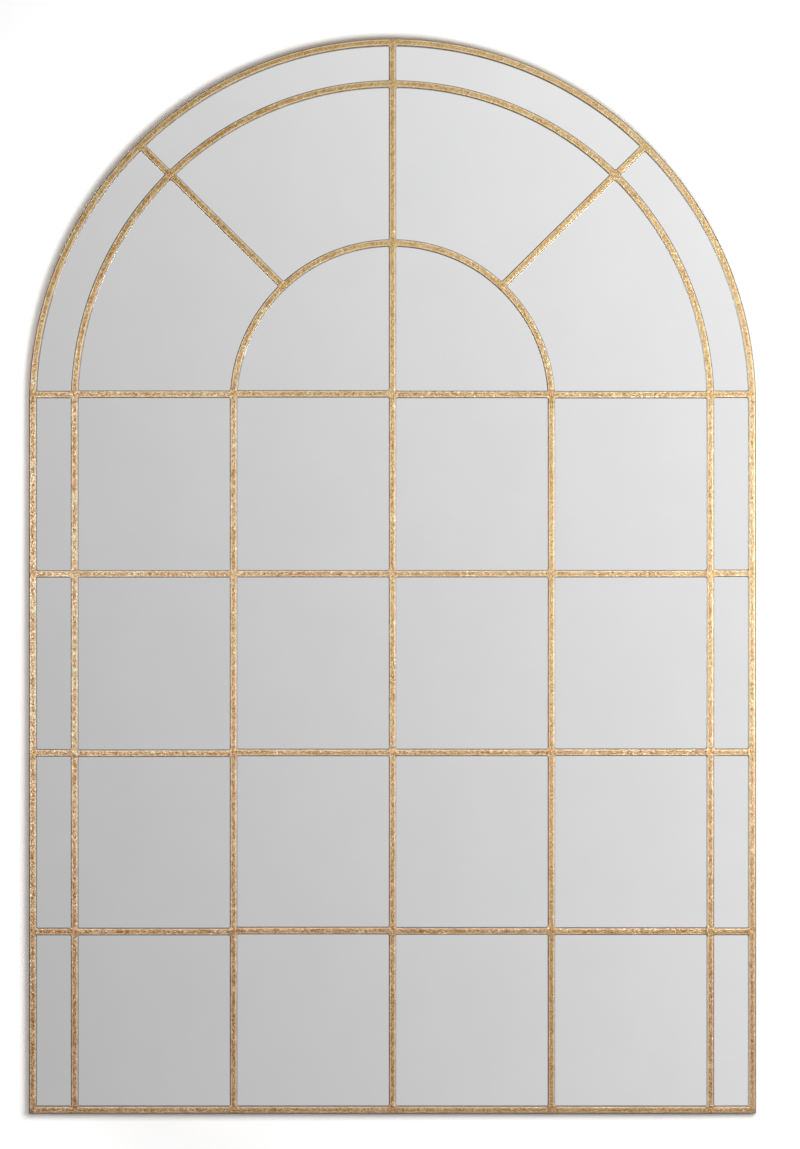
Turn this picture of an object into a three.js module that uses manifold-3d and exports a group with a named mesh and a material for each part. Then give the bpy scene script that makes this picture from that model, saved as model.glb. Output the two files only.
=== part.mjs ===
// Arched window mirror: a welded iron lattice of flat bars in front of one sheet of silvered
// glass, in a deeper rim, with a backboard, retaining tabs, D-ring hangers and wall bumpers.
// Millimetres, +Z up. The mirror faces -Y, and +X is to the right of someone looking into it.
// The origin is under the middle of the bottom rail, half way between the frame's front and the wall.

import * as THREE from 'three';
import { mergeVertices } from 'three/addons/utils/BufferGeometryUtils.js';
import ManifoldModule from 'manifold-3d';

const wasm = await ManifoldModule();
wasm.setup();

// ---------- Driving dimensions ----------

// Lattice, seen from the front
const overallWidth = 1219.2;
const overallHeight = 1803.4;
const barWidth = 12.7; // face width of every bar
const borderPitch = 69.85; // from the rim's centre line to the first inner bar's
const rowCount = 4; // rows of panes below the arch
const springRise = 12.7; // the spring crossbars' centre line above the centre of the arches
const spokeAngle = 45; // degrees from upright, about the middle of the spring line
const edgeRadius = 2.8; // rounded front edges of the bars

// Layers, front to back
const rimDepth = 19.05;
const latticeDepth = 6.35;
const glassThickness = 4;
const boardThickness = 5;
const wallClearance = 0.6; // hangers to the wall that the bumpers lean on

// Fits
const seat = 0.3; // gap at welds, under screwed parts and between layers
const glassClearance = 1; // glass edge to rim
const boardClearance = 1.5; // backboard edge to rim

// Retaining tabs, welded to the rim's inner side and screwed to the backboard
const tabWidth = 18;
const tabLength = 26;
const tabThickness = 2;
const tabHoleRadius = 2.2;
const stileTabHeight = 420;
const railTabOffset = 300; // either side of the middle
const archTabAngle = 45; // degrees from upright

// Hangers: a plate welded to the stile, and a strap on it that holds a swinging D-ring
const plateWidth = 34;
const plateHeight = 74;
const plateThickness = 2.5;
const plateCornerRadius = 6;
const hangerDrop = 60; // from the arch's springing down to the ring's pivot
const strapWidth = 16;
const strapLength = 40; // below the pivot
const strapThickness = 1.2;
const strapHoleDrops = [8, 26]; // below the pivot
const screwHoleRadius = 2.2; // in straps and plates
const plateHoleInset = 8; // board screws, from the plate's inner corners
const wireRadius = 1.5;
const wireClearance = 0.3; // wire to the strap's rolled loop
const ringSidePlay = 0.8; // strap's edge to the ring's legs
const ringLegLength = 3;

// Bumpers, stuck to the rim's back face
const bumperRadius = 5;
const bumperTipRadius = 4;
const bumperInset = 40; // from the bottom corners, along the rail
const archBumperAngle = 52; // degrees from upright

// Facets
const edgeSteps = 3; // per rounded edge
const outerArchSteps = 144; // per full turn
const innerArchSteps = 128;
const fanArchSteps = 88;
const ringSteps = 36;
const wireSides = 12;
const holeSides = 16;

// ---------- Derived sizes ----------

const halfBar = barWidth / 2;
const rimX = overallWidth / 2 - halfBar; // centre line of the stiles
const borderX = rimX - borderPitch;
const quarterX = borderX / 2;
const archZ = overallHeight - overallWidth / 2; // centre of the three arches
const springZ = archZ + springRise;
const railZ = halfBar;
const rowPitch = (springZ - railZ) / rowCount;
const rimInnerX = rimX - halfBar;

// The hangers stand furthest back, and the bumpers reach just past them.
const loopRadius = wireRadius + wireClearance;
const loopOuterRadius = loopRadius + strapThickness;
const layersDepth = latticeDepth + seat + glassThickness + seat + boardThickness;
const hangerDepth = seat + plateThickness + seat + 2 * loopOuterRadius;
const overallDepth = layersDepth + hangerDepth + wallClearance;
const bumperDepth = overallDepth - rimDepth;

const frontY = -overallDepth / 2;
const rimBackY = frontY + rimDepth;
const glassY = frontY + latticeDepth + seat;
const boardY = glassY + glassThickness + seat;
const boardBackY = boardY + boardThickness;
const cutDepth = 4 * rimDepth; // longer than anything a cutter passes through

const lattice = {
  columns: [-rimX, -borderX, -quarterX, 0, quarterX, borderX, rimX],
  outerArch: { radius: rimX, steps: outerArchSteps },
  innerArch: { radius: borderX, steps: innerArchSteps },
  fanArch: { radius: quarterX, steps: fanArchSteps },
};

// ---------- Materials ----------

const finish = (color, roughness, metalness) =>
  new THREE.MeshStandardMaterial({ color, roughness, metalness });
const goldLeaf = finish(0xc49a5e, 0.42, 0.9);
const mirror = finish(0xd4d6d6, 0.04, 1);
const fibreboard = finish(0x6e543c, 0.85, 0);
const zincSteel = finish(0xa9abab, 0.4, 1);
const rubber = finish(0x222222, 0.8, 0);

// ---------- Solids ----------

// A closed geometry as a manifold solid, for cuts and joins.
function solidOf(geometry) {
  const bare = geometry.clone();
  bare.deleteAttribute('normal');
  bare.deleteAttribute('uv');
  const merged = mergeVertices(bare, 1e-4);
  return new wasm.Manifold(
    new wasm.Mesh({
      numProp: 3,
      vertProperties: new Float32Array(merged.attributes.position.array),
      triVerts: new Uint32Array(merged.index.array),
    }),
  );
}

function geometryOf(solid) {
  const mesh = solid.getMesh();
  const geometry = new THREE.BufferGeometry();
  geometry.setAttribute('position', new THREE.BufferAttribute(mesh.vertProperties, 3));
  geometry.setIndex(new THREE.BufferAttribute(mesh.triVerts, 1));
  geometry.computeVertexNormals();
  return geometry;
}

function box(sizeX, sizeY, sizeZ, x, y, z) {
  return solidOf(new THREE.BoxGeometry(sizeX, sizeY, sizeZ).translate(x, y, z));
}

// A straight round rod between two points.
function rod(radius, sides, from, to) {
  const along = to.clone().sub(from);
  const turn = new THREE.Quaternion().setFromUnitVectors(
    new THREE.Vector3(0, 1, 0),
    along.clone().normalize(),
  );
  const middle = from.clone().add(to).multiplyScalar(0.5);
  const geometry = new THREE.CylinderGeometry(radius, radius, along.length(), sides)
    .applyQuaternion(turn)
    .translate(middle.x, middle.y, middle.z);
  return solidOf(geometry);
}

// A flat outline drawn in X and Z, from its front face at y through its thickness towards +Y.
function sheet(outline, thickness, y, curveSegments) {
  return new THREE.ExtrudeGeometry(outline, { depth: thickness, bevelEnabled: false, curveSegments })
    .rotateX(Math.PI / 2)
    .translate(0, y + thickness, 0);
}

const group = new THREE.Group();

function add(name, shape, material, parent = group) {
  const mesh = new THREE.Mesh(shape.isBufferGeometry ? shape : geometryOf(shape), material);
  mesh.name = name;
  parent.add(mesh);
  return mesh;
}

// ---------- Bars ----------

// A bar's section: flat at the back (v = 0), with both front edges rounded.
function barSection(depth) {
  const flat = halfBar - edgeRadius;
  const shoulder = depth - edgeRadius;
  const section = new THREE.Shape();
  section.moveTo(-halfBar, 0);
  section.lineTo(halfBar, 0);
  section.lineTo(halfBar, shoulder);
  section.absarc(flat, shoulder, edgeRadius, 0, Math.PI / 2);
  section.lineTo(-flat, depth);
  section.absarc(-flat, shoulder, edgeRadius, Math.PI / 2, Math.PI);
  section.closePath();
  return section;
}

// A straight bar between two points of the lattice, front flush with the frame's.
function straightBar([x0, z0], [x1, z1], depth = latticeDepth) {
  const along = new THREE.Vector3(x1 - x0, 0, z1 - z0);
  const length = along.length();
  along.normalize();
  const forward = new THREE.Vector3(0, -1, 0);
  const across = new THREE.Vector3().crossVectors(forward, along);
  const place = new THREE.Matrix4().makeBasis(across, forward, along);
  place.setPosition(x0, frontY + depth, z0);
  return new THREE.ExtrudeGeometry(barSection(depth), {
    depth: length,
    bevelEnabled: false,
    curveSegments: edgeSteps,
  }).applyMatrix4(place);
}

// A closed profile of radius and y turned about the arches' centre, less all below foot.
function archOf(profile, steps, foot) {
  const loop = [...profile, profile[0]];
  const full = solidOf(new THREE.LatheGeometry(loop, steps).translate(0, 0, archZ));
  const size = 2 * overallWidth;
  return full.intersect(box(size, cutDepth, size, 0, 0, foot + size / 2));
}

// A bar bent to a half circle, standing on the springing line.
function archBar({ radius, steps }, depth) {
  const points = barSection(depth).getPoints(edgeSteps);
  const profile = points
    .filter((point, i) => i === 0 || point.distanceTo(points[i - 1]) > 1e-6)
    .filter((point, i, list) => i === 0 || point.distanceTo(list[0]) > 1e-6)
    .map((point) => new THREE.Vector2(radius + point.x, frontY + depth - point.y))
    .reverse();
  return archOf(profile, steps, archZ + seat / 2);
}

// What a bar that ends on an arch loses: the arch's band, grown by the weld gap.
function archCutter({ radius, steps }) {
  const inner = radius - halfBar - seat;
  const outer = radius + halfBar + seat;
  const corners = [[inner, -1], [outer, -1], [outer, 1], [inner, 1]];
  const profile = corners.map(([r, side]) => new THREE.Vector2(r, (side * cutDepth) / 4));
  return archOf(profile, steps, archZ);
}

const cutters = [lattice.outerArch, lattice.innerArch, lattice.fanArch].map(archCutter);

// A bar whose ends are coped to the arches that it runs into.
function copedBar(from, to) {
  return cutters.reduce((bar, cutter) => bar.subtract(cutter), solidOf(straightBar(from, to)));
}

// ---------- Rim: bottom rail, two stiles and the outer arch ----------

// Trims a rim bar to an outline in X and Z, which gives it its mitred ends.
function trimmed(bar, corners) {
  const outline = new THREE.Shape(corners.map(([x, z]) => new THREE.Vector2(x, z)));
  return solidOf(bar).intersect(solidOf(sheet(outline, cutDepth, -cutDepth / 2)));
}

function addRim() {
  const half = overallWidth / 2;
  const slant = seat * Math.SQRT1_2; // each mitre face stands back by half the weld gap
  const stileTop = archZ - seat / 2;

  const rail = straightBar([-half, railZ], [half, railZ], rimDepth);
  add(
    'bottom_rail',
    trimmed(rail, [
      [-half + slant, 0],
      [half - slant, 0],
      [half - barWidth - slant, barWidth],
      [-half + barWidth + slant, barWidth],
    ]),
    goldLeaf,
  );

  for (const [name, side] of [['left_stile', -1], ['right_stile', 1]]) {
    const stile = straightBar([side * rimX, 0], [side * rimX, stileTop], rimDepth);
    const corners = [
      [side * half, slant],
      [side * (half - barWidth), barWidth + slant],
      [side * (half - barWidth), stileTop],
      [side * half, stileTop],
    ];
    add(name, trimmed(stile, corners), goldLeaf);
  }

  add('outer_arch', archBar(lattice.outerArch, rimDepth), goldLeaf);
}

// ---------- Lattice: upright bars, crossbars, arches and spokes ----------

function addLattice() {
  const foot = barWidth + seat; // on the bottom rail
  const springing = archZ - seat / 2;
  const uprights = [
    ['left_border_bar', -borderX],
    ['left_quarter_bar', -quarterX],
    ['right_quarter_bar', quarterX],
    ['right_border_bar', borderX],
  ];
  for (const [name, x] of uprights) add(name, straightBar([x, foot], [x, springing]), goldLeaf);

  add('inner_arch', archBar(lattice.innerArch, latticeDepth), goldLeaf);
  add('fan_arch', archBar(lattice.fanArch, latticeDepth), goldLeaf);

  // The centre bar stands on the rail and ends under the fan. Two more carry it to the crown.
  const crown = (arch) => archZ + arch.radius;
  add('centre_bar', copedBar([0, foot], [0, crown(lattice.fanArch)]), goldLeaf);
  add('crown_bar_lower', copedBar([0, crown(lattice.fanArch)], [0, crown(lattice.innerArch)]), goldLeaf);
  add('crown_bar_upper', copedBar([0, crown(lattice.innerArch)], [0, crown(lattice.outerArch)]), goldLeaf);

  // Spokes radiate from the middle of the spring line, not from the arches' own centre.
  const lean = THREE.MathUtils.degToRad(spokeAngle);
  for (const [name, side] of [['left', -1], ['right', 1]]) {
    const direction = new THREE.Vector2(side * Math.sin(lean), Math.cos(lean));
    const meet = ({ radius }) => {
      const offset = springRise * Math.cos(lean);
      const reach = Math.sqrt(radius ** 2 - (springRise * Math.sin(lean)) ** 2) - offset;
      return [direction.x * reach, springZ + direction.y * reach];
    };
    const fan = meet(lattice.fanArch);
    const inner = meet(lattice.innerArch);
    const outer = meet(lattice.outerArch);
    add(`${name}_spoke_lower`, copedBar(fan, inner), goldLeaf);
    add(`${name}_spoke_upper`, copedBar(inner, outer), goldLeaf);
  }

  // Each crossbar is its own length of bar, welded between two uprights. Row 1 is the lowest.
  // The top row is the spring line, whose ends are coped to the arches.
  for (let row = 1; row <= rowCount; row += 1) {
    const z = railZ + row * rowPitch;
    const onSpringLine = row === rowCount;
    for (let bay = 1; bay < lattice.columns.length; bay += 1) {
      const left = lattice.columns[bay - 1];
      const right = lattice.columns[bay];
      const gap = halfBar + seat;
      const from = [onSpringLine && left !== 0 ? left : left + gap, z];
      const to = [onSpringLine && right !== 0 ? right : right - gap, z];
      const bar = onSpringLine ? copedBar(from, to) : straightBar(from, to);
      add(`crossbar_row${row}_${bay}`, bar, goldLeaf);
    }
  }
}

// ---------- Glass and backboard ----------

// The rim's inner outline, drawn in by a clearance. It has a square foot and a round head.
function archedOutline(clearance) {
  const half = rimInnerX - clearance;
  const outline = new THREE.Shape();
  outline.moveTo(-half, barWidth + clearance);
  outline.lineTo(half, barWidth + clearance);
  outline.lineTo(half, archZ);
  outline.absarc(0, archZ, half, 0, Math.PI);
  outline.closePath();
  return outline;
}

function addLayers() {
  const steps = outerArchSteps / 2;
  add('mirror_glass', sheet(archedOutline(glassClearance), glassThickness, glassY, steps), mirror);
  add('backboard', sheet(archedOutline(boardClearance), boardThickness, boardY, steps), fibreboard);
}

// ---------- Retaining tabs ----------

// A round-ended tab that points along +X from the rim's inner side, with its screw hole.
function tabShape() {
  const radius = tabWidth / 2;
  const centre = tabLength - radius;
  const outline = new THREE.Shape();
  outline.moveTo(seat, -radius);
  outline.lineTo(centre, -radius);
  outline.absarc(centre, 0, radius, -Math.PI / 2, Math.PI / 2);
  outline.lineTo(seat, radius);
  outline.closePath();
  const hole = new THREE.Path();
  hole.absarc(centre, 0, tabHoleRadius, 0, 2 * Math.PI, true);
  outline.holes.push(hole);
  return outline;
}

function addTabs() {
  const archTab = THREE.MathUtils.degToRad(archTabAngle);
  // A tab's square end meets the curve at its two corners, so it stops at their chord.
  const facetReach = rimInnerX * Math.cos(Math.PI / outerArchSteps);
  const chordReach = Math.sqrt(facetReach ** 2 - (tabWidth / 2) ** 2);
  const archX = chordReach * Math.sin(archTab);
  const archTop = archZ + chordReach * Math.cos(archTab);
  // Each place is a point on the rim's inner side and the direction inwards, as an angle
  // from +X towards +Z.
  const places = [
    [-rimInnerX, stileTabHeight, 0],
    [rimInnerX, stileTabHeight, Math.PI],
    [-railTabOffset, barWidth, Math.PI / 2],
    [railTabOffset, barWidth, Math.PI / 2],
    [-archX, archTop, archTab - Math.PI / 2],
    [archX, archTop, -archTab - Math.PI / 2],
  ];
  places.forEach(([x, z, inwards], i) => {
    const tab = add(`retaining_tab_${i + 1}`, sheet(tabShape(), tabThickness, 0, 10), zincSteel);
    tab.position.set(x, boardBackY + seat, z);
    tab.rotation.y = -inwards;
  });
}

// ---------- Hangers ----------

const plateY = boardBackY + seat;
const pivotY = plateY + plateThickness + seat + loopOuterRadius;
const pivotZ = archZ - hangerDrop;
const hangerX = rimInnerX - seat - plateWidth / 2;
const plateDrop = strapLength / 2 - loopOuterRadius; // from the pivot down to the plate's middle

// A screw hole's cutter, through anything near y = 0.
function screwHole(x, z) {
  const reach = 2 * loopOuterRadius;
  const from = new THREE.Vector3(x, -reach, z);
  const to = new THREE.Vector3(x, reach, z);
  return rod(screwHoleRadius, holeSides, from, to);
}

// The plate is welded to the stile along its outer edge. Its inner corners are rounded, with a
// board screw in each, and the strap's screws pass into it.
function hangerPlate(side) {
  const outer = plateWidth / 2;
  const half = plateHeight / 2;
  const corner = plateCornerRadius;
  const outline = new THREE.Shape();
  outline.moveTo(outer, -half);
  outline.lineTo(outer, half);
  outline.lineTo(corner - outer, half);
  outline.absarc(corner - outer, half - corner, corner, Math.PI / 2, Math.PI);
  outline.lineTo(-outer, corner - half);
  outline.absarc(corner - outer, corner - half, corner, Math.PI, 1.5 * Math.PI);
  outline.closePath();
  const plate = sheet(outline, plateThickness, 0, 6);
  const boardScrewX = -side * (outer - plateHoleInset);
  const holes = [half - plateHoleInset, plateHoleInset - half].map((z) => [boardScrewX, z]);
  for (const drop of strapHoleDrops) holes.push([0, plateDrop - drop]);
  return holes.reduce(
    (solid, [x, z]) => solid.subtract(screwHole(x, z)),
    solidOf(side > 0 ? plate : plate.rotateY(Math.PI)),
  );
}

// The strap in side view, pivot at the middle: a plate that rolls over into a loop at its top.
function strapProfile() {
  const plateFront = -loopRadius; // the plate's face on the ring's side
  const meet = Math.sqrt(loopOuterRadius ** 2 - loopRadius ** 2);
  const profile = new THREE.Shape();
  profile.moveTo(-strapLength, plateFront);
  profile.lineTo(-strapLength, -loopOuterRadius);
  profile.lineTo(0, -loopOuterRadius);
  profile.absarc(0, 0, loopOuterRadius, -Math.PI / 2, Math.PI + Math.atan2(loopRadius, meet));
  profile.closePath();
  const bore = new THREE.Path();
  bore.absarc(0, 0, loopRadius, 0, 2 * Math.PI, true);
  profile.holes.push(bore);
  return profile;
}

// Turns the side view, drawn as (up, outwards), into a solid across the strap's width.
function strapSolid() {
  const upright = new THREE.Matrix4().makeBasis(
    new THREE.Vector3(0, 0, 1),
    new THREE.Vector3(0, 1, 0),
    new THREE.Vector3(-1, 0, 0),
  );
  const rolled = new THREE.ExtrudeGeometry(strapProfile(), {
    depth: strapWidth,
    bevelEnabled: false,
    curveSegments: holeSides,
  })
    .applyMatrix4(upright)
    .translate(strapWidth / 2, 0, 0);

  // Seen from behind, the plate has a round foot.
  const half = strapWidth / 2;
  const outline = new THREE.Shape();
  outline.moveTo(half, 2 * loopOuterRadius);
  outline.lineTo(-half, 2 * loopOuterRadius);
  outline.lineTo(-half, half - strapLength);
  outline.absarc(0, half - strapLength, half, Math.PI, 2 * Math.PI);
  outline.closePath();
  const rounded = solidOf(rolled).intersect(
    solidOf(sheet(outline, 4 * loopOuterRadius, -2 * loopOuterRadius, 12)),
  );
  return strapHoleDrops.reduce((solid, drop) => solid.subtract(screwHole(0, -drop)), rounded);
}

// A D-ring of round wire that hangs from its pivot: a straight pin through the strap's loop,
// two short legs and a half-round bow.
function ringSolid() {
  const halfWidth = strapWidth / 2 + ringSidePlay + wireRadius;
  const bowZ = -ringLegLength;
  const at = (x, z) => new THREE.Vector3(x, 0, z);
  const ball = (x, z) =>
    solidOf(new THREE.SphereGeometry(wireRadius, wireSides, wireSides / 2).translate(x, 0, z));
  const span = 4 * halfWidth;
  const bow = solidOf(
    new THREE.TorusGeometry(halfWidth, wireRadius, wireSides, ringSteps)
      .rotateX(Math.PI / 2)
      .translate(0, 0, bowZ),
  ).intersect(box(span, span, span, 0, 0, bowZ - span / 2));
  return bow
    .add(rod(wireRadius, wireSides, at(-halfWidth, 0), at(halfWidth, 0)))
    .add(rod(wireRadius, wireSides, at(-halfWidth, bowZ), at(-halfWidth, 0)))
    .add(rod(wireRadius, wireSides, at(halfWidth, bowZ), at(halfWidth, 0)))
    .add(ball(-halfWidth, 0))
    .add(ball(halfWidth, 0));
}

function addHangers() {
  for (const [name, side] of [['left', -1], ['right', 1]]) {
    const plate = add(`hanger_plate_${name}`, hangerPlate(side), zincSteel);
    plate.position.set(side * hangerX, plateY, pivotZ - plateDrop);
    const hanger = new THREE.Group();
    hanger.position.set(side * hangerX, pivotY, pivotZ);
    group.add(hanger);
    add(`hanger_strap_${name}`, strapSolid(), zincSteel, hanger);
    add(`hanger_ring_${name}`, ringSolid(), zincSteel, hanger);
  }
}

// ---------- Bumpers ----------

function bumperGeometry() {
  const edge = 0.8; // softened rim of the tip
  const height = bumperDepth - seat;
  const profile = [
    [0, 0],
    [bumperRadius, 0],
    [bumperTipRadius, height - edge],
    [bumperTipRadius - edge, height],
    [0, height],
  ].map(([radius, y]) => new THREE.Vector2(radius, y));
  return new THREE.LatheGeometry(profile, 24);
}

function addBumpers() {
  const lean = THREE.MathUtils.degToRad(archBumperAngle);
  const footX = overallWidth / 2 - bumperInset;
  const archX = rimX * Math.sin(lean);
  const archTop = archZ + rimX * Math.cos(lean);
  const places = [[-footX, railZ], [footX, railZ], [-archX, archTop], [archX, archTop]];
  places.forEach(([x, z], i) => {
    const bumper = add(`bumper_${i + 1}`, bumperGeometry(), rubber);
    bumper.position.set(x, rimBackY + seat, z);
  });
}

addRim();
addLattice();
addLayers();
addTabs();
addHangers();
addBumpers();

export default group;
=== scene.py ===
import math
import random

import bmesh
import bpy
import numpy as np
from mathutils import Matrix, Vector, noise


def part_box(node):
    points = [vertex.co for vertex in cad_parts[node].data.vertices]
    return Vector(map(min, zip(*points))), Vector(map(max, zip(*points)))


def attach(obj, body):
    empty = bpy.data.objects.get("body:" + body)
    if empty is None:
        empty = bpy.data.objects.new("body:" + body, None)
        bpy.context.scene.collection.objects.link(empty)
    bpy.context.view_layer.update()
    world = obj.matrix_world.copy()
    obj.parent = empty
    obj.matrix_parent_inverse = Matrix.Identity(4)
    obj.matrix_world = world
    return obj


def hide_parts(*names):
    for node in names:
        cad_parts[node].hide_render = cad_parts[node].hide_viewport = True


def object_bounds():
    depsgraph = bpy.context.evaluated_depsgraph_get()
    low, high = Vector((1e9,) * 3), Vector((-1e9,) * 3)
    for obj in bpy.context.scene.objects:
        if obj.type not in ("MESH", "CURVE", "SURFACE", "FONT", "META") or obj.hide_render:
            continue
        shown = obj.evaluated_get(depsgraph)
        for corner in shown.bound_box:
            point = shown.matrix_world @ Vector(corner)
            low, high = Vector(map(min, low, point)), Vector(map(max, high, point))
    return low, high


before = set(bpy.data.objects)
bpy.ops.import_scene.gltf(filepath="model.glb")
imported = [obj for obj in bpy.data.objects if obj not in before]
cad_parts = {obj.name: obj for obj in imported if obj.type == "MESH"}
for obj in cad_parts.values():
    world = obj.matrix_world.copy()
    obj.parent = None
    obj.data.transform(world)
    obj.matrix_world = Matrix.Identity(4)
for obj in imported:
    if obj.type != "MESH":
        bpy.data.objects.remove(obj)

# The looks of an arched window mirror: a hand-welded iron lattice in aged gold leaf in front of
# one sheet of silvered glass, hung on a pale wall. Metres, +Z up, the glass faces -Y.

cad_low, cad_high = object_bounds()
MM = 0.001
chance = random.Random(7)

# ---------- Sizes that the frame gives ----------

rail_low, rail_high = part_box("bottom_rail")
bar_low, bar_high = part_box("centre_bar")
glass_low, glass_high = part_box("mirror_glass")
BAR_WIDTH = rail_high.z - rail_low.z
HALF_BAR = BAR_WIDTH / 2
RIM_DEPTH = rail_high.y - rail_low.y
LATTICE_DEPTH = bar_high.y - bar_low.y
FRONT_Y = rail_low.y
OVERALL_WIDTH = cad_high.x - cad_low.x
OVERALL_HEIGHT = cad_high.z - cad_low.z
ARCH_Z = OVERALL_HEIGHT - OVERALL_WIDTH / 2  # centre of the three arches
SPRING_Z = sum(corner.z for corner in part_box("crossbar_row4_3")) / 2

# ---------- Sizes of the finish ----------

EDGE_RADIUS = 1.9 * MM  # rounded front edges of the bars
SKIN = 0.16 * MM  # the bars' mean sides lie this far inside the CAD bar
FRONT_SKIN = 0.65 * MM  # their mean fronts, which leaves room for the welds
FRONT_CROWN = 0.12 * MM  # the fronts are ground by hand, so they are not quite flat
STATION_PITCH = 4 * MM  # steps along a bar
JOINT_PITCH = 1.3 * MM  # and near a weld
WELD_REACH = 3.6 * MM  # how far a butted end runs into the bar that it is welded to
WELD_GAP = 0.58 * MM  # from a CAD bar's end to the finished side of the bar it meets
FILLET = 2.3 * MM  # weld fillets in the corners
WELD_SPREAD = 9 * MM  # how far a dressed weld shows along the bars
MITRE_FADE = 40 * MM  # along a mitred bar, until its steps lie square to it
BEAD_HEIGHT = 0.34 * MM  # the dressed bead across the end of a welded bar
PLUG_RADIUS = 3.3 * MM  # dressed plug welds on the bars that run through
RUB_AND_HIGHLIGHT_INSET = 2.4 * MM  # from a bar's side to the rubbed line along its front, which also paints the edge's highlight
RUB_AND_HIGHLIGHT_WIDTH = 0.7 * MM  # half the width of that line
PAINTED_BRIGHT_DEPTH = 8 * MM  # sides that face left or down take the pale rubbed colour, a painted highlight, this far behind the front
GRIME_AND_SHADING_DEPTH = 9 * MM  # grime and painted shading on the other sides end this far behind the front
GRIME_AND_SHADING_FADE = 3 * MM  # and fade out over this depth
BUTT_REACH = 0.16 * MM  # closes the gap from an upright's CAD end to the arch that stands on it
GRAIN_RATE = 0.55  # below 1, so the leaf's grain is longer along a bar than round it
# Heights and lengths of the waves that hand work leaves, in metres
WAVES = ((0.08 * MM, 0.011), (0.05 * MM, 0.0045), (0.05 * MM, 0.060))
ARCHES = ("fan_arch", "inner_arch", "outer_arch")
# How far each crossbar sits below its row, in mm, rows from the bottom, bays from the left
CROSSBAR_DROPS = {
    1: (1.3, 1.4, -0.3, 0.2, 0.6, 1.0),
    2: (1.5, 2.1, 0.8, 0.8, 0.4, 0.4),
    3: (1.2, 1.1, 0.9, 0.9, 0.9, 0.1),
    4: (0.2, -0.3, -0.9, 0.0, 0.5, -0.2),
}
# Degrees from upright of the spokes' lower and upper pieces
SPOKE_ANGLES = {"left": (45.25, 45.35), "right": (45.35, 45.5)}


# ---------- Meshes ----------


def new_object(name, mesh, material, smooth=True):
    piece = bpy.data.objects.new(name, mesh)
    bpy.context.scene.collection.objects.link(piece)
    if material is not None and not mesh.materials:
        mesh.materials.append(material)
    if smooth:
        mesh.shade_smooth()
    return piece


def finish_piece(piece, body, slot, *nodes):
    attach(piece, body)
    if nodes:
        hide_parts(*nodes)


def tube_faces(stations, around, closed_path=False):
    """Quads of a skin over stations x around points, with caps unless the path closes."""
    faces = []
    steps = stations if closed_path else stations - 1
    for i in range(steps):
        j = (i + 1) % stations
        for k in range(around):
            m = (k + 1) % around
            faces.append((i * around + k, i * around + m, j * around + m, j * around + k))
    if not closed_path:
        faces.append(tuple(reversed(range(around))))
        faces.append(tuple((stations - 1) * around + k for k in range(around)))
    return faces


def close_up(mesh, merge=None):
    """Join points closer than merge and turn the faces of a closed mesh outwards."""
    bm = bmesh.new()
    bm.from_mesh(mesh)
    if merge:
        bmesh.ops.remove_doubles(bm, verts=bm.verts, dist=merge)
    bmesh.ops.recalc_face_normals(bm, faces=bm.faces)
    bm.to_mesh(mesh)
    bm.free()


def mesh_of(name, points, faces):
    mesh = bpy.data.meshes.new(name)
    mesh.from_pydata([tuple(p) for p in points], [], faces)
    close_up(mesh)
    mesh.validate()
    return mesh


def arc(centre, radius, start, end, steps):
    """Points of an arc in a plane, both ends included, angles in degrees."""
    angles = np.radians(np.linspace(start, end, steps + 1))
    return [(centre[0] + radius * math.cos(a), centre[1] + radius * math.sin(a)) for a in angles]


def plate(name, outline, thickness, y, material, bevel, holes=()):
    """A flat plate drawn in X and Z, from y to y + thickness, with eased edges."""
    curve = bpy.data.curves.new(name, "CURVE")
    curve.dimensions = "2D"
    curve.fill_mode = "BOTH"
    curve.extrude = thickness / 2 - bevel
    curve.bevel_depth = bevel
    curve.bevel_resolution = 2
    curve.offset = -bevel
    for loop in (outline, *holes):
        spline = curve.splines.new("POLY")
        spline.points.add(len(loop) - 1)
        for point, (x, z) in zip(spline.points, loop):
            point.co = (x, z, 0, 1)
        spline.use_cyclic_u = True
    drawn = bpy.data.objects.new(name + "_outline", curve)
    bpy.context.scene.collection.objects.link(drawn)
    bpy.context.view_layer.update()
    flat = drawn.evaluated_get(bpy.context.evaluated_depsgraph_get())
    mesh = bpy.data.meshes.new_from_object(flat)
    bpy.data.objects.remove(drawn)
    bpy.data.curves.remove(curve)
    mesh.name = name
    mesh.materials.clear()
    mesh.transform(Matrix.Translation((0, y + thickness / 2, 0)) @ Matrix.Rotation(math.pi / 2, 4, "X"))
    close_up(mesh, merge=1e-6)
    return new_object(name, mesh, material, smooth=False)


def revolved(name, profile, steps, material):
    """A solid of revolution about Y. profile is (radius, y) pairs from axis to axis."""
    points = [(0, profile[0][1], 0)]
    for radius, y in profile[1:-1]:
        for k in range(steps):
            turn = 2 * math.pi * k / steps
            points.append((radius * math.cos(turn), y, radius * math.sin(turn)))
    points.append((0, profile[-1][1], 0))
    faces = []
    rings = len(profile) - 2
    for k in range(steps):
        m = (k + 1) % steps
        faces.append((0, 1 + m, 1 + k))
        for i in range(rings - 1):
            near, far = 1 + i * steps, 1 + (i + 1) * steps
            faces.append((near + k, near + m, far + m, far + k))
        last = 1 + (rings - 1) * steps
        faces.append((last + k, last + m, len(points) - 1))
    return new_object(name, mesh_of(name, points, faces), material)


# ---------- Materials ----------


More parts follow.
